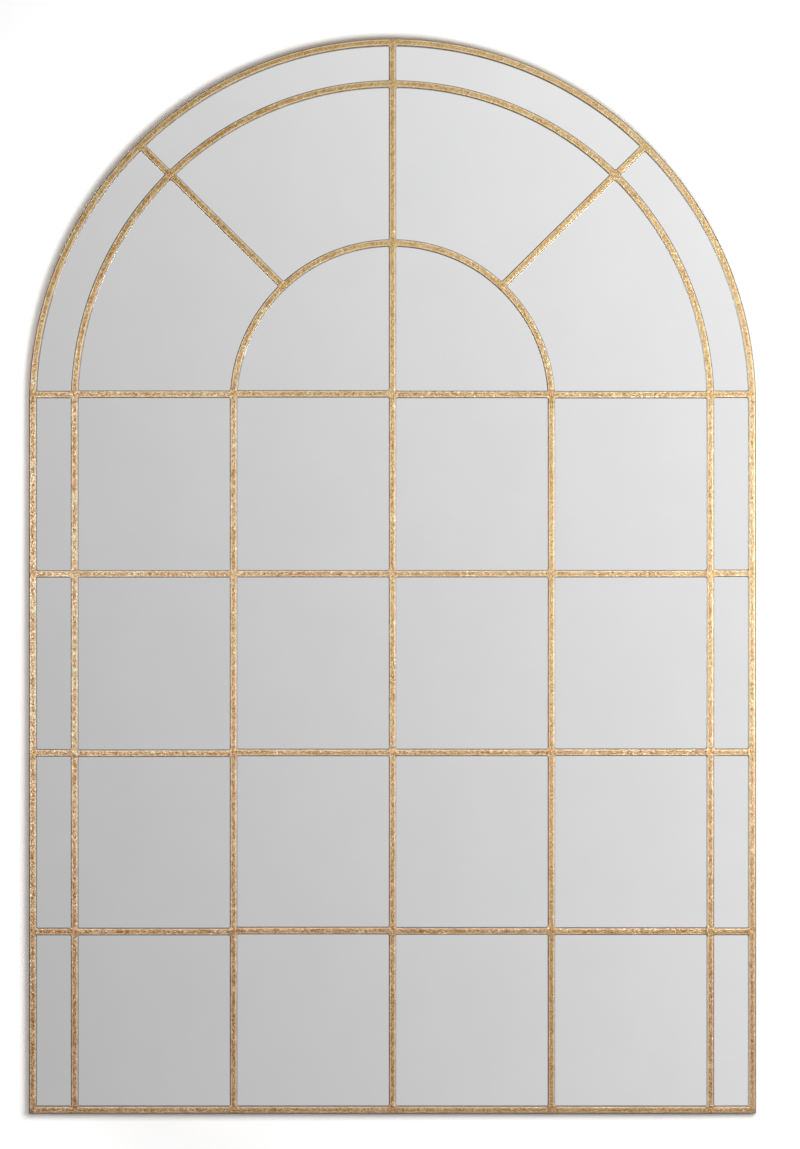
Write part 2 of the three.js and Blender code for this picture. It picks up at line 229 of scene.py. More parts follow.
class Shader:
    """A material's or world's node tree, written as nested calls."""

    def __init__(self, owner):
        owner.use_nodes = True
        self.tree = owner.node_tree
        self.tree.nodes.clear()

    def node(self, kind, inputs=(), **settings):
        made = self.tree.nodes.new(kind)
        for name, value in settings.items():
            setattr(made, name, value)
        for name, value in dict(inputs).items():
            self.put(made.inputs[name], value)
        return made

    def put(self, socket, value):
        if isinstance(value, bpy.types.NodeSocket):
            self.tree.links.new(value, socket)
        else:
            socket.default_value = value

    def math(self, operation, a, b=0.0):
        return self.node("ShaderNodeMath", {0: a, 1: b}, operation=operation).outputs[0]

    def mix(self, factor, a, b):
        made = self.node("ShaderNodeMix", {0: factor, 6: a, 7: b}, data_type="RGBA")
        return made.outputs[2]

    def scaled(self, colour, amount):
        return self.node("ShaderNodeVectorMath", {0: colour, "Scale": amount}, operation="SCALE").outputs[0]

    def product(self, a, b):
        """Two colours multiplied channel by channel."""
        return self.node("ShaderNodeVectorMath", {0: a, 1: b}, operation="MULTIPLY").outputs[0]

    def band(self, value, low, high, to_low=0.0, to_high=1.0):
        """value from low..high brought smoothly to to_low..to_high."""
        made = self.node(
            "ShaderNodeMapRange",
            {"Value": value, "From Min": low, "From Max": high, "To Min": to_low, "To Max": to_high},
            interpolation_type="SMOOTHSTEP",
        )
        return made.outputs[0]

    def noise(self, vector, size, detail=2.0, roughness=0.5, distortion=0.0):
        """Noise whose patches are about size across."""
        made = self.node(
            "ShaderNodeTexNoise",
            {"Vector": vector, "Scale": 1 / size, "Detail": detail, "Roughness": roughness,
             "Distortion": distortion},
        )
        return made.outputs[0]

    def bump(self, height, distance, normal=None):
        inputs = {"Height": height, "Distance": distance, "Strength": 1.0}
        if normal is not None:
            inputs["Normal"] = normal
        return self.node("ShaderNodeBump", inputs).outputs[0]

    def surface(self, inputs):
        shader = self.node("ShaderNodeBsdfPrincipled", inputs)
        self.node("ShaderNodeOutputMaterial", {"Surface": shader.outputs[0]})


def new_material(name):
    """A material, its shader and the coordinates that its textures follow."""
    material = bpy.data.materials.new(name)
    s = Shader(material)
    return material, s, s.node("ShaderNodeTexCoord").outputs["Object"]


def grey(value):
    return (value, value, value, 1)


def leaf_wear_and_highlight(s, fine, patches, mottle, sideways, height):
    """The leaf's grain: bare copper below 0, rubbed cream above. It is strongest on the left-hand
    bars and weakest on the arches, and half way up the left side a painted highlight makes it creamier."""
    wear_and_highlight = 0.0
    for grains, share in ((fine, 2.1), (patches, 1.3), (mottle, 1.2)):
        wear_and_highlight = s.math("ADD", wear_and_highlight, s.math("MULTIPLY", s.math("SUBTRACT", grains, 0.5), share))
    wear_and_highlight = s.math("MULTIPLY", wear_and_highlight, s.band(sideways, -0.45, 0.15, 1.25, 0.85))
    wear_and_highlight = s.math("MULTIPLY", wear_and_highlight, s.band(height, 1.15, 1.45, 1.0, 0.85))
    # Painted highlight: creamier half way up the left side
    on_left = s.band(sideways, -0.38, -0.56)
    half_way = s.band(s.math("ABSOLUTE", s.math("SUBTRACT", height, 0.76)), 0.22, 0.03)
    return s.math("ADD", wear_and_highlight, s.math("MULTIPLY", s.math("MULTIPLY", on_left, half_way), 0.22))


def leaf_painted_shading(s, sideways, height):
    """Painted shade, duller towards the bottom and round the left of the arches, and painted light,
    brighter round their right.
    """
    low = s.mix(s.band(height, 0.73, 0.13), (1, 1, 1, 1), (0.84, 0.785, 0.70, 1))
    arch = s.mix(s.band(sideways, -0.45, 0.45), (0.80, 0.755, 0.615, 1), (1.16, 1.16, 1.16, 1))
    arch = s.mix(s.band(height, 1.20, 1.50), (1, 1, 1, 1), arch)
    return low, arch


def gold_leaf_material():
    """Aged leaf: cream, gold and copper grain, dark pits, pale rubbed edges that also paint the edges'
    highlights, and beside them grime that is pale or dark by the way that it faces, as painted light and
    painted shade."""
    material, s, place = new_material("gold_leaf")
    grain = s.node("ShaderNodeAttribute", attribute_name="grain").outputs["Vector"]
    edge, weld, soil, pale = (s.node("ShaderNodeAttribute", attribute_name=label).outputs["Fac"]
                              for label in ("edge", "weld", "soil", "pale"))

    clouds = s.noise(place, 0.055, 3.0, 0.6)
    patches = s.noise(grain, 0.010, 3.0, 0.6)
    fine = s.noise(grain, 0.0020, 2.0, 0.65)
    mottle = s.noise(place, 0.0042, 2.0, 0.6)
    specks = s.noise(place, 0.0030, 3.0, 0.65, 0.5)
    sideways, _, height = s.node("ShaderNodeSeparateXYZ", {0: place}).outputs

    # Yellower towards the top and the right, redder low down on the left
    lean = s.math("ADD", s.math("MULTIPLY", height, 0.34), s.math("MULTIPLY", sideways, 0.20))
    tone = s.math("ADD", lean, s.math("MULTIPLY", s.math("SUBTRACT", clouds, 0.5), 1.1))
    leaf = s.mix(s.band(tone, 0.0, 0.62), (0.76, 0.465, 0.245, 1), (0.75, 0.52, 0.235, 1))
    copper = s.mix(s.band(tone, 0.0, 0.62), (0.56, 0.27, 0.105, 1), (0.57, 0.30, 0.11, 1))

    wear_and_highlight = leaf_wear_and_highlight(s, fine, patches, mottle, sideways, height)
    leaf = s.mix(s.band(wear_and_highlight, 0.04, -0.50), leaf, copper)
    leaf = s.mix(s.band(wear_and_highlight, 0.02, 0.66, 0.0, 0.9), leaf, (0.97, 0.83, 0.62, 1))
    contrast = s.band(height, 1.15, 1.45, 1.0, 0.5)
    shaded = s.math("MULTIPLY", s.band(fine, 0.30, 0.70, -0.26, 0.26), contrast)
    leaf = s.scaled(leaf, s.math("ADD", shaded, 1.0))

    # Painted shade low down and round the left of the arches, painted light round their right
    for shade in leaf_painted_shading(s, sideways, height):
        leaf = s.product(leaf, shade)

    dark = s.band(s.math("ADD", specks, s.math("MULTIPLY", weld, -0.03)), 0.36, 0.28)
    leaf = s.mix(s.math("MULTIPLY", dark, 0.8), leaf, (0.12, 0.065, 0.03, 1))
    # The pale rubbed line along each front edge, partly wear and partly a painted highlight
    bright = s.math("MULTIPLY", edge, s.band(patches, 0.25, 0.55, 0.55, 1.0))
    bright = s.math("MULTIPLY", bright, s.math("SUBTRACT", 1.0, s.math("MULTIPLY", weld, 0.8)))
    leaf = s.mix(bright, leaf, (0.98, 0.87, 0.69, 1))
    # Beside the rubbed line, grime pale or dark by the way that it faces: painted light and painted shade
    grime_and_shading_colour = s.mix(pale, (0.035, 0.023, 0.014, 1), (0.80, 0.75, 0.66, 1))
    leaf = s.mix(s.math("MULTIPLY", soil, 0.9), leaf, grime_and_shading_colour)

    dull = s.band(fine, 0.35, 0.65, 0.46, 0.34)
    pits_grime_and_shading = s.math("MAXIMUM", dark, soil)
    roughness = s.math("ADD", dull, s.math("MULTIPLY", pits_grime_and_shading, 0.22))
    roughness = s.math("SUBTRACT", roughness, s.math("MULTIPLY", bright, 0.14))
    metallic = s.math("SUBTRACT", 1.0, s.math("MULTIPLY", pits_grime_and_shading, 0.5))
    normal = s.bump(s.noise(place, 0.007, 2.0, 0.5), 0.0006)
    for grit in (fine, mottle):
        normal = s.bump(s.math("MULTIPLY", grit, contrast), 0.00030, normal)
    s.surface({"Base Color": leaf, "Metallic": metallic, "Roughness": roughness, "Normal": normal})
    return material


def weld_steel_material():
    """Undressed weld metal: grey steel with straw and blue heat tints."""
    material, s, place = new_material("weld_steel")
    tint = s.noise(place, 0.0035, 3.0, 0.6)
    scale = s.noise(place, 0.0007, 3.0, 0.6)
    colour = s.mix(s.band(tint, 0.40, 0.55), (0.20, 0.20, 0.24, 1), (0.36, 0.34, 0.32, 1))
    colour = s.mix(s.band(tint, 0.56, 0.66), colour, (0.46, 0.34, 0.20, 1))
    colour = s.mix(s.band(scale, 0.58, 0.74), colour, (0.05, 0.045, 0.04, 1))
    s.surface({"Base Color": colour, "Metallic": 0.9, "Roughness": s.band(scale, 0.3, 0.7, 0.34, 0.58),
               "Normal": s.bump(scale, 0.0001)})
    return material


def mirror_material():
    material, s, place = new_material("silvered_glass")
    film = s.noise(place, 0.12, 3.0, 0.6)
    colour = s.mix(s.band(film, 0.35, 0.7), (0.903, 0.909, 0.920, 1), (0.923, 0.924, 0.938, 1))
    roughness = s.band(film, 0.45, 0.75, 0.008, 0.028)
    wave = s.bump(s.noise(place, 0.45, 1.0, 0.4), 0.00006)
    s.surface({"Base Color": colour, "Metallic": 1.0, "Roughness": roughness, "Normal": wave})
    return material


def glass_edge_material():
    material, s, place = new_material("glass_edge")
    ground = s.noise(place, 0.0015, 3.0, 0.6)
    colour = s.mix(ground, (0.10, 0.24, 0.19, 1), (0.22, 0.42, 0.35, 1))
    roughness = s.band(ground, 0.3, 0.7, 0.15, 0.4)
    s.surface({"Base Color": colour, "Roughness": roughness, "Normal": s.bump(ground, 0.0001)})
    return material


def backing_paint_material():
    material, s, place = new_material("backing_paint")
    runs = s.noise(place, 0.02, 3.0, 0.6)
    colour = s.mix(runs, (0.16, 0.17, 0.18, 1), (0.22, 0.23, 0.245, 1))
    s.surface({"Base Color": colour, "Roughness": s.band(runs, 0.3, 0.7, 0.45, 0.6),
               "Normal": s.bump(runs, 0.0001)})
    return material


def fibreboard_material():
    """Brown hardboard: long felted fibres, speckles and the faint weave of the pressing screen."""
    material, s, place = new_material("fibreboard")
    drawn = s.node("ShaderNodeMapping", {"Vector": place, "Scale": (1.0, 1.0, 0.22)}).outputs[0]
    crossed = s.node("ShaderNodeMapping", {"Vector": place, "Scale": (0.22, 1.0, 1.0)}).outputs[0]
    fibres = s.noise(drawn, 0.0016, 4.0, 0.7, 1.2)
    felt = s.noise(crossed, 0.0022, 4.0, 0.7, 1.5)
    clouds = s.noise(place, 0.16, 3.0, 0.55)
    colour = s.mix(clouds, (0.185, 0.105, 0.055, 1), (0.265, 0.165, 0.09, 1))
    colour = s.mix(s.band(fibres, 0.52, 0.75), colour, (0.38, 0.26, 0.155, 1))
    colour = s.mix(s.band(felt, 0.42, 0.25), colour, (0.10, 0.055, 0.03, 1))
    weave = []
    for axis in ("X", "Z"):
        wave = s.node("ShaderNodeTexWave", {"Vector": place, "Scale": 95.0, "Distortion": 0.6},
                      bands_direction=axis)
        weave.append(wave.outputs[1])
    screen = s.math("MULTIPLY", weave[0], weave[1])
    colour = s.mix(s.math("MULTIPLY", screen, 0.18), colour, (0.06, 0.034, 0.018, 1))
    normal = s.bump(screen, 0.00022)
    normal = s.bump(s.math("ADD", fibres, felt), 0.0002, normal)
    s.surface({"Base Color": colour, "Roughness": s.band(fibres, 0.3, 0.7, 0.62, 0.85), "Normal": normal})
    return material


def zinc_material():
    """Bright zinc plating on pressed steel: a faint spangle, scratches and a warm cast."""
    material, s, place = new_material("zinc_steel")
    spangle = s.node("ShaderNodeTexVoronoi", {"Vector": place, "Scale": 420.0}).outputs[1]
    stain = s.noise(place, 0.012, 3.0, 0.6)
    scratched = s.node("ShaderNodeMapping", {"Vector": place, "Scale": (1.0, 1.0, 0.08)}).outputs[0]
    scratches = s.noise(scratched, 0.0007, 2.0, 0.6)
    tint = s.node("ShaderNodeSeparateColor", {0: spangle}).outputs[0]
    colour = s.mix(tint, (0.50, 0.51, 0.53, 1), (0.66, 0.67, 0.68, 1))
    colour = s.mix(s.band(stain, 0.5, 0.72), colour, (0.55, 0.50, 0.38, 1))
    roughness = s.math("ADD", s.band(stain, 0.35, 0.7, 0.26, 0.44), s.math("MULTIPLY", tint, 0.06))
    normal = s.bump(scratches, 0.00004)
    s.surface({"Base Color": colour, "Metallic": 1.0, "Roughness": roughness, "Normal": normal})
    return material


def rubber_material():
    material, s, place = new_material("rubber")
    bloom = s.noise(place, 0.004, 3.0, 0.6)
    colour = s.mix(s.band(bloom, 0.4, 0.75), (0.012, 0.012, 0.013, 1), (0.05, 0.05, 0.052, 1))
    grit = s.noise(place, 0.0005, 2.0, 0.5)
    s.surface({"Base Color": colour, "Roughness": s.band(bloom, 0.3, 0.7, 0.55, 0.8),
               "Normal": s.bump(grit, 0.00005)})
    return material


gold = gold_leaf_material()
silver = mirror_material()
edge_glass = glass_edge_material()
back_paint = backing_paint_material()
board_brown = fibreboard_material()
zinc = zinc_material()
weld_steel = weld_steel_material()
black_rubber = rubber_material()

# ---------- Bars ----------


def bar_section(depth):
    """Points round a bar's section, anticlockwise from behind with the front at forward = 0:
    across, forward, edge wear with its painted highlight, grime with painted shading, and the outward
    direction."""
    half = HALF_BAR - SKIN
    ease = 0.5 * MM
    flat = half - EDGE_RADIUS
    side_steps = max(3, round((depth - EDGE_RADIUS) / (4 * MM)))
    side = np.linspace(-depth + ease, -EDGE_RADIUS, side_steps + 1)[:-1]

    def wear_and_highlight(outwards):
        """The rubbed line beside an edge, which also paints the edge's highlight. outwards is 0 where the
        front's flat ends, 1 on the side.
        """
        return math.exp(-(((1 - outwards) * EDGE_RADIUS - RUB_AND_HIGHLIGHT_INSET) / RUB_AND_HIGHLIGHT_WIDTH) ** 2)

    def rounded(side, turns):
        """A front edge, with grime and painted shading up to its front. A turn is 0 on the bar's side, 90
        on its front.
        """
        found = []
        for turn in turns:
            c, s = math.cos(math.radians(turn)), math.sin(math.radians(turn))
            soil = min(1, max(0, (76 - turn) / 12))
            found.append((side * (flat + EDGE_RADIUS * c), -EDGE_RADIUS * (1 - s), wear_and_highlight(c), soil,
                          side * c, s))
        return found

    quarter = np.linspace(0, 90, 10)
    points = [(x, -depth, 0, 1, 0, -1) for x in (-half + ease, 0, half - ease)]
    points += [(half, v, 0, 1, 1, 0) for v in side]
    points += rounded(1, quarter)
    points += [(x, FRONT_CROWN * (1 - (x / flat) ** 2), wear_and_highlight((abs(x) - flat) / EDGE_RADIUS), 0, 0, 1)
               for x in np.linspace(flat, -flat, 9)[1:-1]]
    points += rounded(-1, quarter[::-1])
    points += [(-half, v, 0, 1, -1, 0) for v in side[::-1]]
    return np.array(points, float)


def arch_radius(arch):
    """Radius of an arch's centre line."""
    low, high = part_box(arch)
    return (high.x - low.x) / 2 - HALF_BAR


def joint_points():
    """Where bars meet, in X and Z: every dressed weld."""
    found = []
    columns = [0.0]
    for name in ("right_quarter_bar", "right_border_bar", "right_stile"):
        low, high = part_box(name)
        columns += [(low.x + high.x) / 2, -(low.x + high.x) / 2]
    for row in range(1, 5):
        low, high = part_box(f"crossbar_row{row}_3")
        drop = sum(CROSSBAR_DROPS[row]) / 6 * MM
        found += [(x, (low.z + high.z) / 2 - drop) for x in columns]
    found += [(x, HALF_BAR) for x in columns]
    for arch in ARCHES:
        upper = arch == "outer_arch"
        found.append((0.0, ARCH_Z + arch_radius(arch)))
        found += [spoke_point(side, angles[upper], arch_radius(arch))
                  for side, angles in SPOKE_ANGLES.items()]
    return np.array(found)


def spoke_point(side, angle, radius, short=0.0):
    """Where a spoke's centre line meets an arch, or a little short of that."""
    rise = SPRING_Z - ARCH_Z
    lean = math.radians(angle)
    reach = math.sqrt(radius**2 - (rise * math.sin(lean)) ** 2) - rise * math.cos(lean) - short
    return (-1 if side == "left" else 1) * reach * math.sin(lean), SPRING_Z + reach * math.cos(lean)


JOINTS = joint_points()
PLUGS = np.array([max(0.0, chance.uniform(-0.6, 1.0)) for _ in JOINTS])  # how raised each plug is


def stations_for(length, flared_start, flared_end, joints):
    """Steps along a bar, close together in its weld fillets and at joints along it."""
    flared = np.array([-WELD_REACH, -2.9 * MM, -2.2 * MM, -1.1 * MM, 0.0, 0.3 * MM, 0.7 * MM,
                       1.2 * MM, 1.8 * MM, 2.6 * MM, 3.6 * MM])
    plain = np.array([0.0, 0.8 * MM, 1.8 * MM])
    low = flared if flared_start else plain
    high = length - (flared if flared_end else plain)[::-1]
    near = [j for j in joints if low[-1] + WELD_SPREAD < j < high[0] - WELD_SPREAD]
    stops = [low[-1], *(j + side * WELD_SPREAD for j in sorted(near) for side in (-1, 1)), high[0]]
    middle = []
    for i, (begin, finish) in enumerate(zip(stops, stops[1:])):
        pitch = JOINT_PITCH if i % 2 else STATION_PITCH
        count = max(2, round((finish - begin) / pitch))
        middle += list(np.linspace(begin, finish, count + 1)[(0 if i else 1):-1])
    return np.concatenate([low, middle, high])


def fillet(distance, radius):
    """How far a weld fillet stands out from the bar, at a distance from the bar it meets."""
    inside = np.clip(radius - distance, 0, radius)
    return radius - np.sqrt(radius**2 - inside**2)


def rough(points, size, seed):
    """Noise from about -1 to 1 at each point, in lumps of about size."""
    shift = Vector((seed * 3.7, seed * 1.3, seed * 2.1))
    return np.array([noise.noise(Vector(p) / size + shift) for p in points])


def to_joints(x, z):
    """Distances from points to every joint."""
    return np.hypot(x[:, None] - JOINTS[None, :, 0], z[:, None] - JOINTS[None, :, 1])


def joints_along(place, length):
    """How far along a bar its centre line passes over joints."""
    line = np.linspace(0, length, max(2, round(length / MM)))
    distances = to_joints(*place(line, np.zeros_like(line))[:2])
    return line[distances.argmin(axis=0)][distances.min(axis=0) < 3 * MM]


def shape_ends(kinds, length, steps, wide, deep, out_across):
    """A bar's grids with weld fillets and mitres, and the beads across its ends. A welded end
    sinks a little where it runs into the bar that it meets."""
    bead = np.zeros_like(steps)
    for kind, distance in zip(kinds, (steps, length - steps)):
        if kind == "weld":
            side = np.sign(wide)
            one, other = (FILLET * chance.uniform(0.7, 1.25) for _ in range(2))
            flare = fillet(distance, np.where(side > 0, one, other))
            wide = wide + side * flare * (np.abs(out_across) > 0.05)
            sunk = np.clip(-distance - 2.2 * MM, 0, None) * (deep > -1.0 * MM)
            deep = deep - 0.5 * sunk
            bead += np.exp(-(((distance - 0.2 * MM) / (1.1 * MM)) ** 2)) * chance.uniform(0.3, 1.0)
    for kind, distance, sign in zip(kinds, (steps, length - steps), (1, -1)):
        if kind.startswith("mitre"):
            slope = 1 if kind.endswith("right") else -1
            cut = HALF_BAR + slope * wide
            steps = steps + sign * cut * np.clip(1 - distance / MITRE_FADE, 0, 1)
    return steps, wide, deep, bead


def soiling(points, outward, soil, edge):
    """A skin's grime with painted shading, its rubbed edges with painted highlights, and how pale the grime
    is.

    The grime is painted light where an edge faces right or up and painted shade where it faces left or
    down, but on the right-hand bars the left edges are palest. Sides that face left or down take the pale
    rubbed colour, a painted highlight."""
    in_plane = np.maximum(np.hypot(outward[:, 0], outward[:, 2]), 0.3)
    to_right, to_top, to_front = outward[:, 0] / in_plane, outward[:, 2] / in_plane, -outward[:, 1]
    behind = points[:, 1] - FRONT_Y - FRONT_SKIN
    on_side = to_front < 0.2
    # Painted highlight: sides that face left or down take the pale rubbed colour and little grime
    painted_bright_sides = on_side & ((to_right < -0.3) | (to_top < -0.3)) & (behind < PAINTED_BRIGHT_DEPTH)
    soil = np.where(on_side, 0.9 * np.clip((GRIME_AND_SHADING_DEPTH - behind) / GRIME_AND_SHADING_FADE, 0, 1), soil)
    soil = np.where(painted_bright_sides, 0.1, soil)
    edge = np.where(painted_bright_sides, 1.0, edge)
    # Painted light and shade on the sides: paler where they face left or down
    pale_side = np.clip(0.6 - 0.3 * to_right - 0.35 * to_top, 0, 1)
    # Painted light and shade on the edges, pale facing right or up and dark facing left or down, turned
    # round on the right-hand bars
    far_right = np.clip((points[:, 0] - 0.28) / 0.30, 0, 1)
    to_right = np.where(to_right < 0, -to_right * (3.1 * far_right - 1), to_right * (1 - 1.3 * far_right))
    pale = np.clip(0.25 + 0.5 * to_right + np.where(to_top > 0, 0.20, 0.12) * to_top, 0, 1)
    pale *= 1 - (1 - far_right) * np.clip((0.70 - to_front) / 0.30, 0, 0.8)
    return soil, edge, np.where(on_side, pale_side, pale)


def relief(points, to_front, weld, plug, bead, seed):
    """How far hand work, dressed welds and beads push a skin out, within the CAD bar."""
    offset = sum(height * rough(points, size, seed + i) for i, (height, size) in enumerate(WAVES))
    raised = weld * (0.10 * MM + 0.30 * MM * rough(points, 0.0040, seed + 3)) + 0.30 * MM * plug
    raised += BEAD_HEIGHT * bead * (1 + 0.8 * rough(points, 0.0030, seed + 4))
    offset += raised * np.where(to_front > 0.3, 1.0, 0.5)
    room = np.where(to_front > 0.5, FRONT_SKIN - FRONT_CROWN, SKIN) - 0.02 * MM
    return np.minimum(offset, room)


def keep_on(mesh, **grids):
    """Values or vectors at a mesh's points, which the leaf's shader reads by name."""
    for label, values in grids.items():
        vectors = values.ndim == 2
        attribute = mesh.attributes.new(label, "FLOAT_VECTOR" if vectors else "FLOAT", "POINT")
        attribute.data.foreach_set("vector" if vectors else "value", values.astype(np.float32).ravel())


def make_bar(name, place, length, depth, start="weld", end="weld"):
    """A finished bar. place(along, across) gives points in X and Z and the across direction.
    An end is welded to a bar's side, butted in line, or mitred to the left or right."""
    seed = chance.random() * 50
    across, forward, edge, soil, out_across, out_forward = bar_section(depth).T
    along = stations_for(length, start == "weld", end == "weld", joints_along(place, length))

    # Grids of stations x section points
    steps, wide = np.meshgrid(along, across, indexing="ij")
    deep, to_front = np.broadcast_to(forward, steps.shape), np.broadcast_to(out_forward, steps.shape)
    steps, wide, deep, bead = shape_ends((start, end), length, steps, wide, deep, out_across)
    x, z, right, up = place(steps, wide)
    points = np.stack([x, FRONT_Y + FRONT_SKIN - deep, z], axis=-1).reshape(-1, 3)
    outward = np.stack([right * out_across, -to_front, up * out_across], axis=-1).reshape(-1, 3)

    distances = to_joints(points[:, 0], points[:, 2])
    nearest = distances.min(axis=1)
    weld = np.exp(-((nearest / WELD_SPREAD) ** 2))
    plug = np.exp(-(((nearest - PLUG_RADIUS) / (0.9 * MM)) ** 2)) * PLUGS[distances.argmin(axis=1)]
    soil, edge, pale = soiling(points, outward, np.tile(soil, len(along)), np.tile(edge, len(along)))
    points += outward * relief(points, to_front.ravel(), weld, plug, bead.ravel(), seed)[:, None]

    mesh = mesh_of(name, points, tube_faces(len(along), len(across)))
    girth = np.append(0.0, np.cumsum(np.hypot(np.diff(across), np.diff(forward))))
    round_bar = np.broadcast_to(girth, steps.shape)
    grain = np.stack([round_bar, steps * GRAIN_RATE, np.full_like(steps, seed)], axis=-1).reshape(-1, 3)
    keep_on(mesh, edge=edge, soil=soil, weld=weld, pale=pale, grain=grain)
    finish_piece(new_object(name + "_gilded", mesh, gold), "mirror", "gold_leaf", name)


def straight(start, end):
    """place() of a straight bar between two points in X and Z."""
    (x0, z0), (x1, z1) = start, end
    length = math.hypot(x1 - x0, z1 - z0)
    tx, tz = (x1 - x0) / length, (z1 - z0) / length

    def place(along, across):
        x = x0 + tx * along + tz * across
        z = z0 + tz * along - tx * across
        return x, z, np.full_like(x, tz), np.full_like(x, -tx)

    return place, length


def bent(radius):
    """place() of a half-round arch, from its right foot over the top to its left foot."""

    def place(along, across):
        turn = along / radius
        x = (radius + across) * np.cos(turn)
        z = ARCH_Z + (radius + across) * np.sin(turn)
        return x, z, np.cos(turn), np.sin(turn)

    return place, math.pi * radius


def upright(name, start="weld", end="weld", depth=LATTICE_DEPTH):
    low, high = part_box(name)
    x = (low.x + high.x) / 2
    bottom = low.z - (WELD_GAP if start == "weld" else 0)
    top = high.z + (WELD_GAP if end == "weld" else BUTT_REACH)
    place, length = straight((x, bottom), (x, top))
    make_bar(name, place, length, depth, start, end)


def level(name, start="weld", end="weld", depth=LATTICE_DEPTH, drop=0.0):
    low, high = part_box(name)
    z = (low.z + high.z) / 2 - drop * MM
    gap = WELD_GAP if start == "weld" else 0
    place, length = straight((low.x - gap, z), (high.x + gap, z))
    make_bar(name, place, length, depth, start, end)


def make_lattice():
    for name in ("left_border_bar", "left_quarter_bar", "right_quarter_bar", "right_border_bar"):
        upright(name, end="butt")
    for name in ("centre_bar", "crown_bar_lower", "crown_bar_upper"):
        upright(name)
    for row in range(1, 5):
        for bay in range(1, 7):
            level(f"crossbar_row{row}_{bay}", drop=CROSSBAR_DROPS[row][bay - 1])
    radii = [arch_radius(arch) for arch in ARCHES]
    for arch, radius in zip(ARCHES, radii):
        place, length = bent(radius)
        depth = RIM_DEPTH if arch == "outer_arch" else LATTICE_DEPTH
        make_bar(arch, place, length, depth, "butt", "butt")
    side_of_bar = HALF_BAR - SKIN
    for side, angles in SPOKE_ANGLES.items():
        for i, part in enumerate(("lower", "upper")):
            place, length = straight(spoke_point(side, angles[i], radii[i], -side_of_bar),
                                     spoke_point(side, angles[i], radii[i + 1], side_of_bar))
            make_bar(f"{side}_spoke_{part}", place, length, LATTICE_DEPTH)


def make_rim():
    upright("left_stile", "mitre_right", "butt", RIM_DEPTH)
    upright("right_stile", "mitre_left", "butt", RIM_DEPTH)
    level("bottom_rail", "mitre_left", "mitre_left", RIM_DEPTH)


make_rim()
make_lattice()

# ---------- Glass and backboard ----------


def arched(clearance, steps=180):
    """The rim's inner outline drawn in by a clearance, anticlockwise seen from the front."""
    half = OVERALL_WIDTH / 2 - BAR_WIDTH - clearance
    foot = BAR_WIDTH + clearance
    return [(-half, foot), (half, foot)] + arc((0, ARCH_Z), half, 0, 180, steps)


def make_glass():
    """The sheet, bedded to within a hair of the rim's skin, so no gap shows round it."""
    y, thickness = glass_low.y, glass_high.y - glass_low.y
    sheet = plate("mirror_sheet", arched(0.08 * MM - SKIN), thickness, y, None, 0.25 * MM)
    for material in (silver, back_paint, edge_glass):
        sheet.data.materials.append(material)
    for face in sheet.data.polygons:
        towards = face.normal.y
        face.material_index = 0 if towards < -0.9 else 1 if towards > 0.9 else 2
    finish_piece(sheet, "mirror", "silvered_glass", "mirror_glass")


def make_backboard():
    low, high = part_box("backboard")
    clearance = OVERALL_WIDTH / 2 - BAR_WIDTH - high.x
    board = plate("backboard_panel", arched(clearance), high.y - low.y, low.y, board_brown, 0.6 * MM)
    finish_piece(board, "mirror", "fibreboard", "backboard")


make_glass()
make_backboard()

# ---------- Fixings on the back ----------

SCREW_RADIUS = 3.0 * MM
SCREW_HEIGHT = 1.4 * MM
SHANK_RADIUS = 1.9 * MM
HOLE_RADIUS = 2.2 * MM
BED = 0.28 * MM  # a shank runs on below its plate to just off what lies under it
STRAP_THICKNESS = 1.2 * MM
STRAP_SCREW_DROPS = (8 * MM, 26 * MM)  # below the pivot of the ring
RIM_INNER_X = OVERALL_WIDTH / 2 - BAR_WIDTH


def eased(mesh):
    mesh.shade_smooth()
    mesh.set_sharp_from_angle(angle=math.radians(32))


def screw(name, x, y, z, reach):
    """A pan-head screw whose cross recess faces the wall, its head seated at y."""
    # Grid lines of the head, close together at the recess and at the rim
    half = [0, 0.05, 0.107, 0.147, 0.25, 0.40, 0.56, 0.60, 0.70, 0.80, 0.88, 0.94, 0.98, 1.0]
    marks = [-m for m in half[:0:-1]] + half
    count = len(marks)
    turn = chance.uniform(0, math.pi / 2)
    c, s = math.cos(turn), math.sin(turn)

    def within(value, limit):
        return min(1, max(0, (limit + 0.02 - abs(value)) / 0.04))

    points, faces = [], []
    for u in marks:
        for v in marks:
            across, up = u * math.sqrt(1 - v * v / 2), v * math.sqrt(1 - u * u / 2)
            off = math.hypot(across, up)
            crest = SCREW_HEIGHT * (1 - 0.15 * off**2) * math.sqrt(max(0, 1 - off**10))
            cross = max(within(u, 0.127) * within(v, 0.58), within(v, 0.127) * within(u, 0.58))
            crest -= cross * 0.9 * MM * (1 - 0.5 * off)
            points.append((x + SCREW_RADIUS * (across * c - up * s), y + crest,
                           z + SCREW_RADIUS * (across * s + up * c)))
    for i in range(count - 1):
        for j in range(count - 1):
            k = i * count + j
            faces.append((k, k + 1, k + count + 1, k + count))
    last = count - 1
    ring = [i * count for i in range(last)] + [last * count + j for j in range(last)]
    ring += [i * count + last for i in range(last, 0, -1)] + list(range(last, 0, -1))
    centre = Vector((x, 0, z))
    for depth in (0.0, reach):
        start = len(points)
        for k in ring:
            outwards = Vector((points[k][0], 0, points[k][2])) - centre
            px, _, pz = centre + outwards.normalized() * SHANK_RADIUS
            points.append((px, y - depth, pz))
        lower = list(range(start, start + len(ring)))
        faces += [(ring[i - 1], ring[i], lower[i], lower[i - 1]) for i in range(len(ring))]
        ring = lower
    faces.append(tuple(ring))
    piece = new_object(name, mesh_of(name, points, faces), zinc)
    eased(piece.data)
    finish_piece(piece, "mirror", "zinc_steel")


